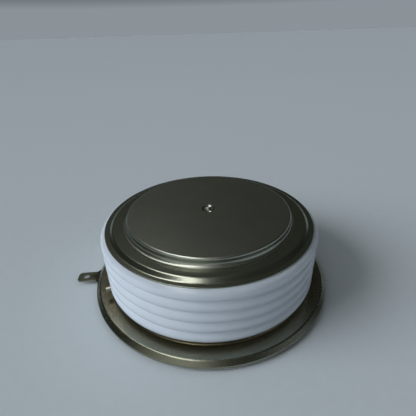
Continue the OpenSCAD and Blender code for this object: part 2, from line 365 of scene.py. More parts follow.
class Outline:
    """A chain of radius and height points in millimetres, drawn as lines and arcs."""

    GUARD = 0.04

    def __init__(self) -> None:
        """Start an empty outline."""
        self.points: list[Point] = []

    def point(self, r: float, z: float) -> "Outline":
        """Add a point, unless the outline already ends there.

        Args:
            r: Distance from the axis.
            z: Height.

        Returns:
            The outline itself.
        """
        if not self.points or math.dist(self.points[-1], (r, z)) > MERGE:
            self.points.append((r, z))
        return self

    def line(self, r: float, z: float) -> "Outline":
        """Draw a straight line, with a guard point near each end so that shading stays flat between them.

        Args:
            r: Distance of its end from the axis.
            z: Height of its end.

        Returns:
            The outline itself.
        """
        start = Vector(self.points[-1])
        end = Vector((r, z))
        length = (end - start).length
        if length > 4 * self.GUARD:
            for share in (self.GUARD / length, 1 - self.GUARD / length):
                self.point(*start.lerp(end, share))
        return self.point(r, z)

    def arc(
        self, r: float, z: float, radius: float, start: float, end: float, steps: int = 10
    ) -> "Outline":
        """Draw an arc around a centre, with a line to its start.

        Args:
            r: Distance of the centre from the axis.
            z: Height of the centre.
            radius: Radius of the arc.
            start: Angle of its first point, in degrees.
            end: Angle of its last point, in degrees.
            steps: Number of chords.

        Returns:
            The outline itself.
        """
        for i in range(steps + 1):
            a = math.radians(start + (end - start) * i / steps)
            place = (r + radius * math.cos(a), z + radius * math.sin(a))
            if i == 0 and self.points:
                self.line(*place)
            else:
                self.point(*place)
        return self


def turn_angles(count: int = AROUND) -> list[float]:
    """Give evenly spaced angles around the axis, in radians."""
    return [2 * math.pi * i / count for i in range(count)]


def join(mesh: Mesh, low: Sequence, high: Sequence) -> None:
    """Join two rings of vertices by a band of faces.

    Args:
        mesh: Mesh that gets the faces.
        low: Vertices of one ring, or one vertex again and again.
        high: Vertices of the other ring, in the same order.
    """
    for i in range(len(low)):
        j = (i + 1) % len(low)
        mesh.faces.new(list(dict.fromkeys((low[i], low[j], high[j], high[i]))))


def lathe(points: Sequence[Point], angles: Sequence[float], closed: bool) -> tuple[Mesh, list[list]]:
    """Turn an outline around the Z axis.

    Args:
        points: Radius and height of the outline's points.
        angles: Angles of the copies of the outline, in order around the axis.
        closed: Whether the outline is a ring; otherwise it starts and ends on the axis.

    Returns:
        The mesh, and its vertices as one row of the angles for each point.
    """
    mesh = bmesh.new()
    rows = []
    for r, z in points:
        if r < MERGE:
            rows.append([mesh.verts.new((0.0, 0.0, z))] * len(angles))
        else:
            rows.append([mesh.verts.new((r * math.cos(a), r * math.sin(a), z)) for a in angles])
    pairs = list(zip(rows, rows[1:]))
    if closed:
        pairs.append((rows[-1], rows[0]))
    for low, high in pairs:
        join(mesh, low, high)
    return mesh, rows


def finish_mesh(name: str, mesh: Mesh, material: Material) -> Piece:
    """Close a mesh, turn its faces outwards, scale it to metres and make it an object.

    Args:
        name: Name of the object.
        mesh: Mesh in millimetres, which is freed.
        material: Its material.

    Returns:
        The object, at the origin.
    """
    bmesh.ops.remove_doubles(mesh, verts=mesh.verts, dist=MERGE)
    bmesh.ops.recalc_face_normals(mesh, faces=mesh.faces)
    data = bpy.data.meshes.new(name)
    mesh.to_mesh(data)
    mesh.free()
    data.transform(Matrix.Scale(MM, 4))
    data.shade_smooth()
    data.set_sharp_from_angle(angle=SHARP_ANGLE)
    data.materials.clear()
    data.materials.append(material)
    piece = bpy.data.objects.new(name, data)
    bpy.context.scene.collection.objects.link(piece)
    return piece


def cut(piece: Mesh, tool: Mesh) -> Mesh:
    """Subtract one closed mesh from another.

    Args:
        piece: Mesh that is cut, which is freed.
        tool: Mesh that is taken away, which is freed.

    Returns:
        The cut mesh.
    """
    objects = []
    for name, mesh in (("piece", piece), ("tool", tool)):
        bmesh.ops.recalc_face_normals(mesh, faces=mesh.faces)
        data = bpy.data.meshes.new(name)
        mesh.to_mesh(data)
        mesh.free()
        objects.append(bpy.data.objects.new(name, data))
        bpy.context.scene.collection.objects.link(objects[-1])
    whole, taken = objects
    modifier = whole.modifiers.new("cut", "BOOLEAN")
    modifier.operation = "DIFFERENCE"
    modifier.solver = "EXACT"
    modifier.object = taken
    result = bmesh.new()
    result.from_mesh(evaluated_mesh(whole))
    for item in objects:
        bpy.data.objects.remove(item)
    return result


def evaluated_mesh(piece: Piece) -> bpy.types.Mesh:
    """Give the plain mesh of an object with its modifiers applied."""
    graph = bpy.context.evaluated_depsgraph_get()
    return bpy.data.meshes.new_from_object(piece.evaluated_get(graph))


def rod(radius: float, start: Vector, end: Vector, around: int) -> Mesh:
    """Make a closed rod between two points.

    Args:
        radius: Radius of the rod.
        start: Middle of its first end.
        end: Middle of its other end.
        around: Number of sides.

    Returns:
        The rod's mesh.
    """
    length = (end - start).length
    points = Outline().point(0, 0).point(radius, 0).point(radius, length).point(0, length).points
    mesh, _ = lathe(points, turn_angles(around), closed=False)
    turn = (end - start).to_track_quat("Z", "X").to_matrix().to_4x4()
    mesh.transform(Matrix.Translation(start) @ turn)
    return mesh


def heights(node: str) -> tuple[float, float]:
    """Give the lowest and highest point of a CAD node in millimetres."""
    low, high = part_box(node)
    return low.z / MM, high.z / MM


def reach(node: str) -> float:
    """Give how far a CAD node reaches from the axis along +X, in millimetres."""
    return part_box(node)[1].x / MM


class CapsulePiece:
    """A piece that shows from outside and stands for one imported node."""

    node: str
    made: str
    slot: Slot = Slot.NICKEL

    def mesh(self) -> Mesh:
        """Make the mesh in millimetres; each piece has its own."""
        raise NotImplementedError

    def build(self, material: Material) -> Piece:
        """Make the piece with its finish and seat it."""
        return self.seat(self.mesh(), material)

    def seat(self, mesh: Mesh, material: Material) -> Piece:
        """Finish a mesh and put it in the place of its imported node.

        Args:
            mesh: Mesh in millimetres, which is freed.
            material: Its finish.

        Returns:
            The piece.
        """
        piece = finish_mesh(f"{self.node}_{self.made}", mesh, material)
        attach(piece, ROOT)
        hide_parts(self.node)
        LOG.info("%s stands for %s: %d faces", piece.name, self.node, len(piece.data.polygons))
        return piece


@dataclass
class PolePiece(CapsulePiece):
    """A turned copper pole piece with a contact face, a locating hole and a seat for its sheet."""

    made = "turned"

    side: Side
    contact_d: float = 52.0
    edge_r: float = 0.6
    foot_fillet: float = 1.1
    shoulder_w: float = 1.15
    hole_d: float = 3.6
    hole_depth: float = 2.0
    hole_chamfer: float = 0.5
    drill_angle: float = 118.0
    well_d: float = 8.0
    slot_w: float = 2.0

    @property
    def node(self) -> str:
        """Name of the CAD node."""
        return "anode_pole_piece" if self.side is Side.ANODE else "cathode_pole_piece"

    @property
    def sheet(self) -> "AnodeSheet | CathodeSheet":
        """Sheet that is brazed to it."""
        return ANODE_SHEET if self.side is Side.ANODE else CATHODE_SHEET

    def outline(self, length: float, rise: float) -> Outline:
        """Draw the section with the contact face at height 0 and the body above it.

        Args:
            length: Length of the pole piece.
            rise: Height of the sheet above the contact face.

        Returns:
            An outline from axis to axis.
        """
        contact_r = self.contact_d / 2
        seat_r = contact_r + self.foot_fillet
        body_r = seat_r + self.shoulder_w
        hole_r = self.hole_d / 2
        back = rise + self.sheet.sheet_t
        tip = hole_r / math.tan(math.radians(self.drill_angle / 2))
        line = Outline().point(0, self.hole_depth + tip)
        line.line(hole_r, self.hole_depth)
        line.line(hole_r, self.hole_chamfer)
        line.line(hole_r + self.hole_chamfer, 0)
        line.arc(contact_r - self.edge_r, self.edge_r, self.edge_r, 270, 360)
        line.arc(seat_r, rise - self.foot_fillet, self.foot_fillet, 180, 90)
        line.line(seat_r, back)
        line.line(body_r, back)
        line.line(body_r, length)
        if self.side is Side.CATHODE:
            line.line(self.well_d / 2, length)
            line.line(self.well_d / 2, self.well_floor())
            return line.line(0, self.well_floor())
        return line.line(0, length)

    def well_floor(self) -> float:
        """Height of the floor of the gate well."""
        return heights("gate_insulator")[0]

    def lead_slot(self, length: float) -> Mesh:
        """Make the box that cuts the slot for the gate lead.

        Args:
            length: Length of the pole piece.

        Returns:
            The box, turned to the gate tube.
        """
        axis = gate_axis()
        floor = axis.height - self.slot_w / 2
        top = length + self.slot_w
        box = bmesh.new()
        bmesh.ops.create_cube(box, size=1)
        middle = Matrix.Translation((self.contact_d / 2, 0, (floor + top) / 2))
        size = Matrix.Diagonal((self.contact_d, self.slot_w, top - floor, 1))
        box.transform(Matrix.Rotation(axis.turn, 4, "Z") @ middle @ size)
        return box

    def mesh(self) -> Mesh:
        """Turn the section, and cut the slot for the gate lead on the cathode side.

        Returns:
            The mesh in millimetres.
        """
        low, high = heights(self.node)
        sheet_top = heights(self.sheet.node)[1]
        length = high - low
        if self.side is Side.ANODE:
            outline = self.outline(length, high - sheet_top)
            return lathe([(r, high - z) for r, z in outline.points], turn_angles(), closed=False)[0]
        outline = self.outline(length, sheet_top - self.sheet.sheet_t - low)
        return cut(lathe(outline.points, turn_angles(), closed=False)[0], self.lead_slot(length))


@dataclass
class AnodeSheet(CapsulePiece):
    """The thin formed sheet between the anode pole piece and the top of the ceramic, with a low step."""

    node = "anode_diaphragm"
    made = "pressed"

    sheet_t: float = 0.3
    seat_r: float = 27.1
    bend_r: float = 0.8
    step_angle: float = 38.0
    flat_w: float = 1.2
    edge_r: float = 0.1
    edge_steps: int = 5

    def surface(self, depth: float, base: float, top: float, rim: float) -> Outline:
        """Draw one surface of the sheet from the seat down the step.

        Args:
            depth: How far this surface lies below the upper one.
            base: Height of the sheet's underside at its flat edge.
            top: Height of its upper surface at the seat.
            rim: Radius of the edge.

        Returns:
            The outline, from the seat outwards.
        """
        a = math.radians(self.step_angle)
        flat = base + self.sheet_t
        leg = (top - flat - 2 * self.bend_r * (1 - math.cos(a))) / math.sin(a)
        foot_r = rim - self.flat_w
        top_r = foot_r - 2 * self.bend_r * math.sin(a) - leg * math.cos(a)
        line = Outline().point(self.seat_r, top - depth)
        line.arc(top_r, top - self.bend_r, self.bend_r - depth, 90, 90 - self.step_angle)
        return line.arc(foot_r, flat + self.bend_r, self.bend_r + depth, 270 - self.step_angle, 270)

    def mesh(self) -> Mesh:
        """Turn the sheet's section.

        Returns:
            The mesh in millimetres.
        """
        base, top = heights(self.node)
        rim = reach(self.node)
        upper = self.surface(0, base, top, rim)
        edge_z = base + self.sheet_t - self.edge_r
        upper.arc(rim - self.edge_r, edge_z, self.edge_r, 90, 0, self.edge_steps).line(rim, base)
        points = upper.points + self.surface(self.sheet_t, base, top, rim).points[::-1]
        return lathe(points, turn_angles(), closed=True)[0]


@dataclass
class CathodeSheet(CapsulePiece):
    """The lower formed sheet, welded to the weld flange along the sloping rim."""

    node = "cathode_diaphragm"
    made = "pressed"

    sheet_t: float = 0.3
    seat_r: float = 27.1
    bead_w: float = 3.2
    bead_h: float = 0.5
    bead_out: float = 4.6
    bend_r: float = 0.6
    slope: float = 40.0
    edge_r: float = 0.06

    def surface(self, depth: float, low: float, high: float, rim: float) -> Outline:
        """Draw one surface of the sheet up to the start of its sloping rim.

        Args:
            depth: Height of this surface above the lower one.
            low: Height of the rim's lower edge.
            high: Height of the flat part's upper surface.
            rim: Radius of the rim.

        Returns:
            The outline, from the seat outwards.
        """
        a = math.radians(self.slope)
        flat = high - self.sheet_t
        bend_z = flat - self.bend_r
        bend_x = rim + ((low - bend_z) * math.cos(a) - self.bend_r) / math.sin(a)
        line = Outline().point(self.seat_r, flat + depth)
        self.add_bead(line, flat + depth, depth)
        return line.arc(bend_x, bend_z, self.bend_r + depth, 90, 90 - self.slope)

    def add_bead(self, line: Outline, flat: float, depth: float) -> None:
        """Draw the flexing bead, which hangs down and is made of equal arcs.

        Args:
            line: Outline that gets the bead.
            flat: Height of this surface beside the bead.
            depth: Height of this surface above the lower one.
        """
        r = self.seat_r + self.bead_out
        half = self.bead_w / 2
        angle = 2 * math.degrees(math.atan(self.bead_h / half))
        bend = half / 2 / math.sin(math.radians(angle))
        line.arc(r - half, flat - bend, bend + depth, 90, 90 - angle)
        line.arc(r, flat - self.bead_h + bend, bend - depth, -90 - angle, -90 + angle)
        line.arc(r + half, flat - bend, bend + depth, 90 + angle, 90)

    def mesh(self) -> Mesh:
        """Turn the sheet's section.

        Returns:
            The mesh in millimetres.
        """
        high = heights(self.node)[1]
        rim = reach(self.node)
        fall = math.tan(math.radians(self.slope))
        band_t = self.sheet_t / math.cos(math.radians(self.slope))
        low = WELD_FLANGE.band_height(WELD_FLANGE.sheet_t, heights(WELD_FLANGE.node)[1]) - band_t
        lower = self.surface(0, low, high, rim)
        lower.line(rim - self.edge_r, low + self.edge_r * fall)
        lower.line(rim, low + 2 * self.edge_r)
        lower.line(rim, low + band_t)
        points = lower.points + self.surface(self.sheet_t, low, high, rim).points[::-1]
        return lathe(points, turn_angles(), closed=True)[0]


@dataclass
class WeldFlange(CapsulePiece):
    """The formed sheet under the ceramic, with the weld rim and the flat tab that is one piece with it."""

    node = "weld_flange"
    made = "pressed"

    sheet_t: float = 0.4
    foot_r: float = 30.3
    drop: float = 1.3
    neck_r: float = 33.2
    neck_bend_r: float = 0.85
    dish_bend_r: float = 0.45
    ridge_inset: float = 1.6
    ridge_bend_r: float = 0.9
    slope: float = 40.0
    edge_r: float = 0.1
    edge_steps: int = 4
    burr: float = 0.05
    tab_w: float = 4.4
    tab_root_w: float = 6.7
    tab_root_l: float = 1.0
    tab_chamfer: float = 0.8
    tab_hole_d: float = 1.9
    tab_hole_out: float = 4.3
    tab_steps: int = 12
    hole_steps: int = 48

    def surface(self, depth: float, top: float, rim: float) -> Outline:
        """Draw one surface of the sheet up to the start of its sloping weld band.

        Args:
            depth: How far this surface lies below the upper one.
            top: Height of the braze foot's upper surface.
            rim: Radius of the rim.

        Returns:
            The outline, from the foot outwards.
        """
        dish = top - self.drop
        neck_in = self.neck_r - self.neck_bend_r
        neck_out = self.neck_r + self.dish_bend_r
        ridge_r = rim - self.ridge_inset
        line = Outline().point(self.foot_r, top - depth)
        line.arc(neck_in, top - self.neck_bend_r, self.neck_bend_r - depth, 90, 0)
        line.arc(neck_out, dish + self.dish_bend_r, self.dish_bend_r + depth, 180, 270)
        return line.arc(ridge_r, dish - self.ridge_bend_r, self.ridge_bend_r - depth, 90, 90 - self.slope)

    def band_height(self, depth: float, top: float) -> float:
        """Give the height of the weld band at the rim.

        Args:
            depth: How far the surface lies below the upper one.
            top: Height of the braze foot's upper surface.

        Returns:
            The height.
        """
        a = math.radians(self.slope)
        centre = top - self.drop - self.ridge_bend_r
        return centre + (self.ridge_bend_r - depth) / math.cos(a) - self.ridge_inset * math.tan(a)

    def tab_line(self, rim: float, end: float) -> list[Point]:
        """Give the tab's outline from its root on the +Y side round to the other root.

        Args:
            rim: Radius of the rim.
            end: Distance of the tab's end from the axis.

        Returns:
            Points with the tab along +X.
        """
        half = [
            (rim + self.tab_root_l, self.tab_w / 2),
            (end - self.tab_chamfer, self.tab_w / 2),
            (end, self.tab_w / 2 - self.tab_chamfer),
        ]
        return half + [(x, -y) for x, y in reversed(half)]

    def mesh(self) -> Mesh:
        """Turn the sheet's section and join the tab to its rim.

        Returns:
            The mesh in millimetres.
        """
        top = heights(self.node)[1]
        rim = reach(self.node)
        end = -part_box(self.node)[0].x / MM
        a = math.radians(self.slope)
        bend = self.band_height(0, top) + self.edge_r * (math.tan(a) - 1 / math.cos(a))
        base = self.band_height(self.sheet_t, top)
        upper = self.surface(0, top, rim)
        upper.arc(rim - self.edge_r, bend, self.edge_r, 90 - self.slope, 0, self.edge_steps)
        edge_first = len(upper.points) - self.edge_steps - 1
        upper.point(rim, base + 2 * self.burr)
        upper.point(rim - self.burr, base + self.burr * math.tan(a))
        edge_last = len(upper.points) - 1
        points = upper.points + self.surface(self.sheet_t, top, rim).points[::-1]
        root = math.asin(self.tab_root_w / 2 / rim)
        sector = [math.pi - root + 2 * root * i / self.tab_steps for i in range(self.tab_steps + 1)]
        others = AROUND - self.tab_steps
        rest = [math.pi + root + (2 * math.pi - 2 * root) * i / others for i in range(1, others)]
        mesh, rows = lathe(points, sector + rest, closed=True)
        self.add_tab(mesh, rows[edge_first:edge_last + 1], points[edge_first:edge_last + 1], rim, end)
        return mesh

    def add_tab(self, mesh: Mesh, rows: list[list], edge: Sequence[Point], rim: float, end: float) -> None:
        """Open the rim at the tab's root and join the tab to it.

        Args:
            mesh: The flange.
            rows: Its vertices around the rim's rounded edge, from the upper band to the lower one.
            edge: Radius and height of those rows.
            rim: Radius of the rim.
            end: Distance of the tab's end from the axis.
        """
        gap = range(self.tab_steps)
        opened = set()
        for low, high in zip(rows, rows[1:]):
            for i in gap:
                corners = {low[i], low[i + 1], high[i], high[i + 1]}
                opened.update(f for f in low[i].link_faces if set(f.verts) == corners)
        bmesh.ops.delete(mesh, geom=list(opened), context="FACES_ONLY")
        outline = self.tab_line(rim, end)
        insets = [rim - r for r, _ in edge]
        columns = [[row[0] for row in rows]]
        for here, before, after in self.corners(outline, rim):
            inward = self.inward(before, here, after)
            column = []
            for inset, (_, z) in zip(insets, edge):
                spot = Vector(here) + inward * inset
                column.append(mesh.verts.new((-spot.x, spot.y, z)))
            columns.append(column)
        columns.append([row[self.tab_steps] for row in rows])
        for left, right in zip(columns, columns[1:]):
            for i in range(len(edge) - 1):
                mesh.faces.new((left[i], left[i + 1], right[i + 1], right[i]))
        hole = self.hole_rows(mesh, rim, edge, insets)
        for level, row in ((0, rows[0]), (-1, rows[-1])):
            loop = [c[level] for c in columns] + list(reversed(row[1:self.tab_steps]))
            self.fill(mesh, loop, hole[level])
        for unused in [v for row in rows[1:-1] for v in row[1:self.tab_steps]]:
            mesh.verts.remove(unused)

    def corners(self, outline: Sequence[Point], rim: float) -> Iterable[tuple[Point, Point, Point]]:
        """Give each corner of the tab's outline with the corners before and after it.

        Args:
            outline: The tab's outline, with the tab along +X.
            rim: Radius of the rim.

        Returns:
            Triples of points.
        """
        half = self.tab_root_w / 2
        foot = math.sqrt(rim ** 2 - half ** 2)
        chain = [(foot, half), *outline, (foot, -half)]
        return [(here, before, after) for before, here, after in zip(chain, chain[1:], chain[2:])]

    def inward(self, before: Point, here: Point, after: Point) -> Vector:
        """Give the offset of a corner for an inset of 1 mm.

        Args:
            before: Corner before it.
            here: The corner.
            after: Corner after it.

        Returns:
            A vector that points into the tab.
        """
        first = (Vector(here) - Vector(before)).normalized()
        second = (Vector(after) - Vector(here)).normalized()
        normals = [Vector((d.y, -d.x)) for d in (first, second)]
        middle = (normals[0] + normals[1]).normalized()
        return middle / middle.dot(normals[0])

    def hole_rows(
        self, mesh: Mesh, rim: float, edge: Sequence[Point], insets: Sequence[float]
    ) -> list[list]:
        """Make the wall of the tab's hole.

        Args:
            mesh: The flange.
            rim: Radius of the rim.
            edge: Radius and height of the rows of a rounded edge.
            insets: How far each row stands back from the edge.

        Returns:
            The wall's rows of vertices, from the top down.
        """
        x = -rim - self.tab_hole_out
        rows = []
        for inset, (_, z) in zip(insets, edge):
            r = self.tab_hole_d / 2 + inset
            angles = turn_angles(self.hole_steps)
            rows.append([mesh.verts.new((x + r * math.cos(a), r * math.sin(a), z)) for a in angles])
        for low, high in zip(rows, rows[1:]):
            join(mesh, low, high)
        return rows

    def fill(self, mesh: Mesh, loop: Sequence, hole: Sequence) -> None:
        """Fill a flat face of the tab around its hole.

        Args:
            mesh: The flange.
            loop: Vertices around the face.
            hole: Vertices around the hole.
        """
        edges = []
        for ring in (list(loop), list(hole)):
            for a, b in zip(ring, ring[1:] + ring[:1]):
                edges.append(mesh.edges.get((a, b)) or mesh.edges.new((a, b)))
        bmesh.ops.triangle_fill(mesh, edges=edges, use_beauty=True)


@dataclass
class GateAxis:
    """Where the gate tube lies: its height, its direction and the distances of its ends from the axis."""

    height: float
    turn: float
    inner: float
    outer: float

    @property
    def direction(self) -> Vector:
        """Direction of the tube from the axis."""
        return Vector((math.cos(self.turn), math.sin(self.turn), 0))


def gate_axis() -> GateAxis:
    """Work out the gate lead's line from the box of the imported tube, which lies on the -X and -Y side.

    Returns:
        The line, in millimetres and radians.
    """
    low, high = (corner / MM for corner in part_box("gate_tube"))
    middle = (low + high) / 2
    radius = (high.z - low.z) / 2

    def side(turn: float) -> Vector:
        """Give how far the tube's rim reaches past the middle of its end."""
        return Vector((abs(math.sin(turn)), abs(math.cos(turn)))) * radius

    tip = low.xy + side(math.atan2(middle.y, middle.x))
    turn = math.atan2(tip.y, tip.x)
    return GateAxis(middle.z, turn, (high.xy - side(turn)).length, tip.length)


@dataclass
class CeramicRing(CapsulePiece):
    """The glazed alumina ring, whose ribs are made by Geometry Nodes."""

    node = "ceramic_ring"
    made = "glazed"
    slot = Slot.ALUMINA

    wall: float = 5.0
    rib_count: int = 5
    groove_depth: float = 0.85
    groove_floor_w: float = 0.45
    groove_blend: float = 0.2
    end_round: float = 1.0
    tube_hole_d: float = 1.7
    hole_steps: int = 48
    rows_per_rib: int = 40

    def sizes(self) -> dict[str, float]:
        """Work out the tree's inputs from the frame.

        Returns:
            Sizes in millimetres by the names of the inputs.
        """
        low, high = heights(self.node)
        pitch = (high - low) / self.rib_count
        chord = pitch - self.groove_floor_w
        bend = ((chord / 2) ** 2 + self.groove_depth ** 2) / (2 * self.groove_depth)
        outer = reach(self.node)
        return {
            "Base": low,
            "Rib Count": float(self.rib_count),
            "Rib Pitch": pitch,
            "Rib Bend": bend,
            "Outer Radius": outer,
            "Bore Radius": outer - self.wall,
            "Groove Depth": self.groove_depth,
            "Groove Blend": self.groove_blend,
            "End Round": self.end_round,
        }

    def tree(self, names: Iterable[str]) -> Tree:
        """Build the tree that makes a ribbed ring from a grid.

        A grid's rows run once around the wall's section: up the ribs, in along the top, down the bore
        and back. Its columns run around the axis.

        Args:
            names: Names of the size inputs.

        Returns:
            The tree.
        """
        tree = bpy.data.node_groups.new("ribbed_ring", "GeometryNodeTree")
        for name in names:
            tree.interface.new_socket(name=name, in_out="INPUT", socket_type="NodeSocketFloat")
        tree.interface.new_socket(name="Material", in_out="INPUT", socket_type="NodeSocketMaterial")
        tree.interface.new_socket(name="Geometry", in_out="OUTPUT", socket_type="NodeSocketGeometry")
        source = add_node(tree, "NodeGroupInput")
        steps = self.rib_count * self.rows_per_rib
        # Row 0 lies on the bore, then come the ribs, and the last two rows lie on the bore again
        last = steps + 3
        grid = add_node(
            tree,
            "GeometryNodeMeshGrid",
            {"Size X": float(last), "Size Y": 1.0, "Vertices X": last + 1, "Vertices Y": AROUND + 1},
        )
        position = add_node(tree, "GeometryNodeInputPosition").outputs[0]
        spot = add_node(tree, "ShaderNodeSeparateXYZ", {0: position})
        terms = {name: source.outputs[name] for name in names}
        terms["x"] = spot.outputs["X"]
        terms["y"] = spot.outputs["Y"]
        rule = (
            ("row", "ADD", "x", last / 2),
            ("outer row", "SUBTRACT", "row", 1.0),
            ("raw share", "DIVIDE", "outer row", float(steps)),
            ("share low", "MAXIMUM", "raw share", 0.0),
            ("share", "MINIMUM", "share low", 1.0),
            ("length", "MULTIPLY", "Rib Count", "Rib Pitch"),
            ("along", "MULTIPLY", "share", "length"),
            ("in rib", "MODULO", "along", "Rib Pitch"),
            ("half pitch", "MULTIPLY", "Rib Pitch", 0.5),
            ("off crest", "SUBTRACT", "in rib", "half pitch"),
            ("off crest squared", "MULTIPLY", "off crest", "off crest"),
            ("bend squared", "MULTIPLY", "Rib Bend", "Rib Bend"),
            ("rise squared", "SUBTRACT", "bend squared", "off crest squared"),
            ("rise", "SQRT", "rise squared"),
            ("bend centre", "SUBTRACT", "Outer Radius", "Rib Bend"),
            ("rib", "ADD", "bend centre", "rise"),
            ("groove", "SUBTRACT", "Outer Radius", "Groove Depth"),
            ("ribbed", "SMOOTH_MAX", "rib", "groove", "Groove Blend"),
            ("from top", "SUBTRACT", "length", "along"),
            ("from end", "MINIMUM", "along", "from top"),
            ("near end", "MINIMUM", "from end", "End Round"),
            ("past round", "SUBTRACT", "End Round", "near end"),
            ("past squared", "MULTIPLY", "past round", "past round"),
            ("round squared", "MULTIPLY", "End Round", "End Round"),
            ("cosine squared", "SUBTRACT", "round squared", "past squared"),
            ("cosine", "SQRT", "cosine squared"),
            ("fall", "SUBTRACT", "End Round", "cosine"),
            ("rounded", "SUBTRACT", "ribbed", "fall"),
            ("first row", "LESS_THAN", "row", 0.5),
            ("last rows", "GREATER_THAN", "row", last - 1.5),
            ("on bore", "ADD", "first row", "last rows"),
            ("wall", "SUBTRACT", "Bore Radius", "rounded"),
            ("radius", "MULTIPLY_ADD", "on bore", "wall", "rounded"),
            ("before last", "LESS_THAN", "row", last - 0.5),
            ("lift", "MULTIPLY_ADD", "along", "before last", "Base"),
            ("angle", "MULTIPLY_ADD", "y", 2 * math.pi, math.pi),
            ("east", "COSINE", "angle"),
            ("north", "SINE", "angle"),
            ("to x", "MULTIPLY", "radius", "east"),
            ("to y", "MULTIPLY", "radius", "north"),
        )
        for name, operation, *parts in rule:
            inputs = {i: terms.get(p, p) for i, p in enumerate(parts)}
            terms[name] = add_node(tree, "ShaderNodeMath", inputs, operation=operation).outputs[0]
        moved = {0: terms["to x"], 1: terms["to y"], 2: terms["lift"]}
        place = add_node(tree, "ShaderNodeCombineXYZ", moved)
        chain = (
            ("GeometryNodeSetPosition", {"Position": place.outputs[0]}),
            ("GeometryNodeMergeByDistance", {"Distance": MERGE}),
            ("GeometryNodeRealizeInstances", {}),
            ("GeometryNodeSetMaterial", {"Material": source.outputs["Material"]}),
            ("NodeGroupOutput", {}),
        )
        made = grid
        for kind, inputs in chain:
            made = add_node(tree, kind, {"Geometry": made.outputs[0], **inputs})
        return tree

    def build(self, material: Material) -> Piece:
        """Make the ring, drill the hole for the gate tube and seat it.

        Args:
            material: Its finish.

        Returns:
            The piece.
        """
        sizes = self.sizes()
        tree = self.tree(sizes)
        carrier = bpy.data.objects.new("ribbed_ring", bpy.data.meshes.new("ribbed_ring"))
        bpy.context.scene.collection.objects.link(carrier)
        modifier = carrier.modifiers.new("ribs", "NODES")
        modifier.node_group = tree
        for item in tree.interface.items_tree:
            if item.in_out == "INPUT":
                modifier[item.identifier] = material if item.name == "Material" else sizes[item.name]
        mesh = bmesh.new()
        mesh.from_mesh(evaluated_mesh(carrier))
        carrier.modifiers.remove(modifier)
        bpy.data.objects.remove(carrier)
        axis = gate_axis()
        lift = Vector((0, 0, axis.height))
        start = axis.direction * (sizes["Bore Radius"] - self.wall) + lift
        end = axis.direction * (axis.outer + self.wall) + lift
        drill = rod(self.tube_hole_d / 2, start, end, self.hole_steps)
        return self.seat(cut(mesh, drill), material)


@dataclass
class GateTube(CapsulePiece):
    """The small drawn tube through the lowest rib, which holds the end of the gate lead."""

    node = "gate_tube"
    made = "drawn"

    bore_d: float = 0.8
    edge_r: float = 0.12
    edge_steps: int = 6
    mouth_steps: int = 4
    around: int = 64

    def mesh(self) -> Mesh:
        """Turn the tube and lay it along the gate lead's line.

        Returns:
            The mesh in millimetres.
        """
        axis = gate_axis()
        low, high = heights(self.node)
        r = (high - low) / 2
        bore = self.bore_d / 2
        mouth_r = self.edge_r / 2
        line = Outline().point(bore, axis.inner).line(r, axis.inner)
        line.arc(r - self.edge_r, axis.outer - self.edge_r, self.edge_r, 0, 90, self.edge_steps)
        line.arc(bore + mouth_r, axis.outer - mouth_r, mouth_r, 90, 180, self.mouth_steps)
        line.line(bore, axis.inner)
        mesh, _ = lathe(line.points[:-1], turn_angles(self.around), closed=True)
        turn = axis.direction.to_track_quat("Z", "X").to_matrix().to_4x4()
        mesh.transform(Matrix.Translation((0, 0, axis.height)) @ turn)
        return mesh


@dataclass
class InnerStack:
    """The pieces inside the capsule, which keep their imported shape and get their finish."""

    finishes: tuple[tuple[str, Finish], ...] = (
        ("silicon_wafer", POLISHED_SILICON),
        ("anode_molybdenum_disc", LAPPED_MOLYBDENUM),
        ("cathode_molybdenum_disc", LAPPED_MOLYBDENUM),
        ("gate_contact", LAPPED_MOLYBDENUM),
        ("wafer_edge_ring", MOULDED_RUBBER),
        ("locating_ring", TURNED_PTFE),
        ("gate_insulator", TURNED_PTFE),
        ("gate_lead_sleeve", TURNED_PTFE),
        ("gate_lead", DRAWN_WIRE),
        ("gate_spring", ROLLED_STEEL),
    )

    def dress(self) -> None:
        """Give each inner piece its finish."""
        made: dict[str, Material] = {}
        for node, finish in self.finishes:
            if finish.name not in made:
                made[finish.name] = finish.build()
            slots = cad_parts[node].data.materials
            slots.clear()
            slots.append(made[finish.name])
            LOG.info("%s has finish %s", node, finish.name)


def toward(azimuth: float, elevation: float) -> Vector:
    """Give the direction at an azimuth from +X and an elevation, in degrees."""
    a = math.radians(azimuth)
    e = math.radians(elevation)
    return Vector((math.cos(e) * math.cos(a), math.cos(e) * math.sin(a), math.sin(e)))


@dataclass(frozen=True)
class Lamp:
    """A lamp that looks at the object; matt and gleams say what of a surface it lights."""

    matt = True
    gleams = True

    name: str
    azimuth: float
    elevation: float
    distance: float

    def light(self) -> bpy.types.Light:
        """Make the light; each lamp has its own."""
        raise NotImplementedError

    def hang(self, target: Vector) -> None:
        """Put the lamp in its place.

        Args:
            target: Point that it looks at, in metres.
        """
        lamp = bpy.data.objects.new(self.name, self.light())
        away = toward(self.azimuth, self.elevation)
        lamp.location = target + away * self.distance
        lamp.rotation_mode = "QUATERNION"
        lamp.rotation_quaternion = away.to_track_quat("Z", "Y")
        lamp.visible_diffuse = self.matt
        lamp.visible_glossy = self.gleams
        bpy.context.scene.collection.objects.link(lamp)


@dataclass(frozen=True)
class Softbox(Lamp):
    """A rectangular lamp that gives the gleams on the metal and the glaze."""

    matt = False

    width: float
    height: float
    radiance: float
    colour: str = "#FFFFFF"

    def light(self) -> bpy.types.Light:
        """Make the light.

        Returns:
            An area light of the lamp's size.
        """
        data = bpy.data.lights.new(self.name, "AREA")
        data.shape = "RECTANGLE"
        data.size = self.width
        data.size_y = self.height
        data.color = linear(self.colour)[:3]
        data.energy = self.radiance * self.width * self.height * math.pi
        return data


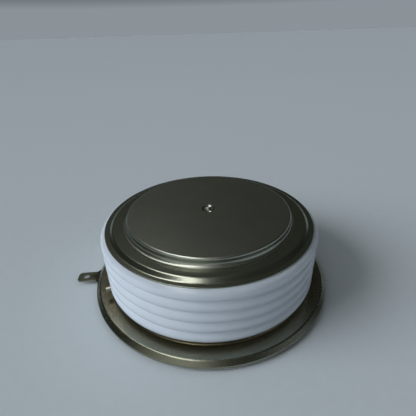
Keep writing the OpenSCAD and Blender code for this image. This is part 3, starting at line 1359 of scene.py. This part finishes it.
@dataclass(frozen=True)
class Daylight(Lamp):
    """Broad, even light from one side, too soft to show in the metal."""

    gleams = False

    spread: float
    level: float
    colour: str = "#FFFFFF"

    def light(self) -> bpy.types.Light:
        """Make the light.

        Returns:
            A sun as wide as the spread.
        """
        data = bpy.data.lights.new(self.name, "SUN")
        data.angle = math.radians(self.spread)
        data.energy = self.level * math.pi
        data.color = linear(self.colour)[:3]
        return data


@dataclass(frozen=True)
class PaleFloor(Finish):
    """Plain pale grey sheet with a faint tooth."""

    light: str = "#DDE4EA"
    dark: str = "#D7DEE4"
    tooth_mm: float = 2.5
    roughness: float = 0.7

    def paint(self, tree: Tree, shader: Node, place: Socket) -> None:
        """Paint the faint tooth.

        Args:
            tree: The material's tree.
            shader: Its shader.
            place: Object coordinates.
        """
        tooth = noise(tree, place, self.tooth_mm, PLAIN)
        shader.inputs["Roughness"].default_value = self.roughness
        tree.links.new(mix(tree, tooth, linear(self.dark), linear(self.light)), shader.inputs["Base Color"])


@dataclass(frozen=True)
class Glow:
    """A pale place in the room around the object, which fades out at its edge."""

    colour: str
    azimuth: float
    elevation: float
    reach: float

    def paint(self, tree: Tree, view: Socket, room: Socket) -> Socket:
        """Paint the pale place over the room.

        Args:
            tree: The room's tree.
            view: Direction that is looked in.
            room: Colour of the room so far.

        Returns:
            Colour of the room with the pale place.
        """
        facing = tuple(toward(self.azimuth, self.elevation))
        near = add_node(tree, "ShaderNodeVectorMath", {0: view, 1: facing}, operation="DOT_PRODUCT")
        share = add_node(
            tree,
            "ShaderNodeMapRange",
            {0: near.outputs["Value"], 1: math.cos(math.radians(self.reach)), 2: 1.0},
            interpolation_type="SMOOTHSTEP",
        )
        return mix(tree, share.outputs[0], room, linear(self.colour))


@dataclass
class Studio:
    """Floor, lamps, surroundings and camera."""

    floor_size: float = 12.0
    lens: float = 27.73
    sensor: float = 36.0
    elevation: float = 29.27
    turn: float = -4.0
    roll: float = -1.77
    distance: float = 105.0
    aim_right: float = -0.13
    aim_up: float = 3.14
    horizon: str = "#8B9399"
    horizon_top: float = 0.1
    horizon_full: float = 0.05
    left_side: str = "#2E302C"
    back_side: str = "#393B36"
    right_side: str = "#222321"
    glows: tuple[Glow, ...] = (
        Glow("#B8BBB8", 238.0, 18.0, 44.0),
        Glow("#8B9399", 326.0, 4.0, 42.0),
    )
    lamps: tuple[Lamp, ...] = (
        Softbox("ceiling_strip", 176.0, 73.5, 0.97, 1.4, 0.24, 3.0),
        Daylight("left_daylight", 188.0, 28.0, 1.0, 40.0, 0.66, "#F2FAFF"),
        Daylight("ceiling_daylight", 150.0, 62.0, 1.0, 70.0, 0.1, "#F2FAFF"),
    )

    def build(self) -> None:
        """Make the floor, lamps, surroundings and camera."""
        self.lay_floor()
        self.paint_room()
        middle = (cad_box[0] + cad_box[1]) / 2
        for lamp in self.lamps:
            lamp.hang(middle)
        self.aim_camera()
        bpy.context.scene.view_settings.view_transform = "Standard"

    def lay_floor(self) -> None:
        """Lay the floor under the object."""
        data = bpy.data.meshes.new("floor")
        half = self.floor_size / 2
        corners = [(-half, -half, 0), (half, -half, 0), (half, half, 0), (-half, half, 0)]
        data.from_pydata(corners, [], [(0, 1, 2, 3)])
        data.materials.append(PaleFloor("pale_floor_sheet").build())
        floor = bpy.data.objects.new("floor", data)
        bpy.context.scene.collection.objects.link(floor)

    def paint_room(self) -> None:
        """Paint a dim room with a pale horizon, a window on the left and a pale wall on the right."""
        world = bpy.data.worlds.new("room")
        bpy.context.scene.world = world
        world.use_nodes = True
        tree = world.node_tree
        view = add_node(tree, "ShaderNodeTexCoord").outputs["Generated"]
        axes = add_node(tree, "ShaderNodeSeparateXYZ", {0: view})
        across = add_node(tree, "ShaderNodeMapRange", {0: axes.outputs["X"], 1: -1.0, 2: 1.0})
        sides = add_node(tree, "ShaderNodeValToRGB", {0: across.outputs[0]})
        sides.color_ramp.elements[0].color = linear(self.left_side)
        sides.color_ramp.elements[1].color = linear(self.right_side)
        sides.color_ramp.elements.new(0.5).color = linear(self.back_side)
        seen = sides.outputs[0]
        for glow in self.glows:
            seen = glow.paint(tree, view, seen)
        span = {0: axes.outputs["Z"], 1: self.horizon_top, 2: self.horizon_full}
        low = add_node(tree, "ShaderNodeMapRange", span)
        whole = mix(tree, low.outputs[0], seen, linear(self.horizon))
        tree.links.new(whole, tree.nodes["Background"].inputs["Color"])

    def aim_camera(self) -> None:
        """Put the camera at the photo's viewing angle."""
        e = math.radians(self.elevation)
        t = math.radians(self.turn)
        roll = math.radians(self.roll)
        right = Vector((math.cos(t), math.sin(t), 0))
        ahead = Vector((-math.sin(t), math.cos(t), 0))
        back = -ahead * math.cos(e) + Vector((0, 0, math.sin(e)))
        up = back.cross(right)
        aim = Vector((0, 0, heights("anode_diaphragm")[0]))
        aim += right * self.aim_right + up * self.aim_up
        x_axis = right * math.cos(roll) + up * math.sin(roll)
        y_axis = up * math.cos(roll) - right * math.sin(roll)
        data = bpy.data.cameras.new("camera")
        data.lens = self.lens
        data.sensor_width = self.sensor
        data.clip_start = MM
        camera = bpy.data.objects.new("camera", data)
        place = Matrix((x_axis, y_axis, back)).transposed().to_4x4()
        place.translation = (aim + back * self.distance) * MM
        camera.matrix_world = place
        bpy.context.scene.collection.objects.link(camera)
        bpy.context.scene.camera = camera


ANODE_SHEET = AnodeSheet()
CATHODE_SHEET = CathodeSheet()
WELD_FLANGE = WeldFlange()


def main() -> None:
    """Build the studio and every piece of the capsule."""
    logging.basicConfig(level=logging.INFO, format="%(message)s")
    Studio().build()
    turned = TURNED_NICKEL.build()
    pressed = PRESSED_NICKEL.build()
    CeramicRing().build(GLAZED_ALUMINA.build())
    PolePiece(Side.ANODE).build(turned)
    ANODE_SHEET.build(pressed)
    WELD_FLANGE.build(BRAZED_NICKEL_WITH_PAINTED_SHADE.build())
    PolePiece(Side.CATHODE).build(turned)
    CATHODE_SHEET.build(pressed)
    GateTube().build(DRAWN_NICKEL.build())
    InnerStack().dress()


if __name__ == "__main__":
    main()
